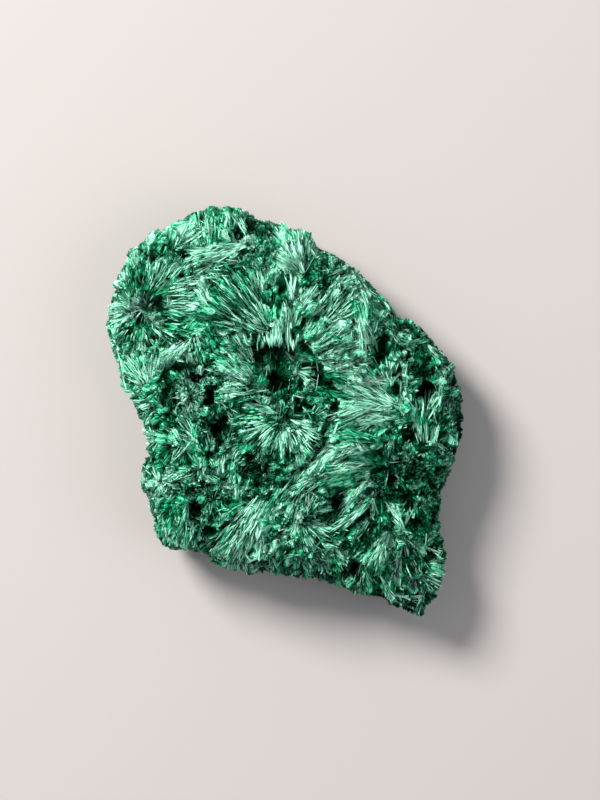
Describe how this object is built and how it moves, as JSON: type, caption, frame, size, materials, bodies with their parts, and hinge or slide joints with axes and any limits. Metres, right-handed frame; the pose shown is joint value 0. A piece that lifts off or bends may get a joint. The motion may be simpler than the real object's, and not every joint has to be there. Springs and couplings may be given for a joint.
{
  "type": "mineral specimen",
  "caption": "Broken vein slab of fibrous green malachite: radiating sprays of fine fibres round small cavities on the crystal face, rough sides and a nearly flat back",
  "frame": {"origin": "centre of the overall box in X and Y, on the plane the slab rests on", "axes": "+Z out of the crystal face, +Y up the face towards its rounded top, +X to the right across it; the slab lies on its back"},
  "size_m": [0.0396, 0.045, 0.0144],
  "materials": {
    "malachite": "satin"
  },
  "bodies": {
    "root": {"malachite": "malachite"}
  },
  "joints": []
}
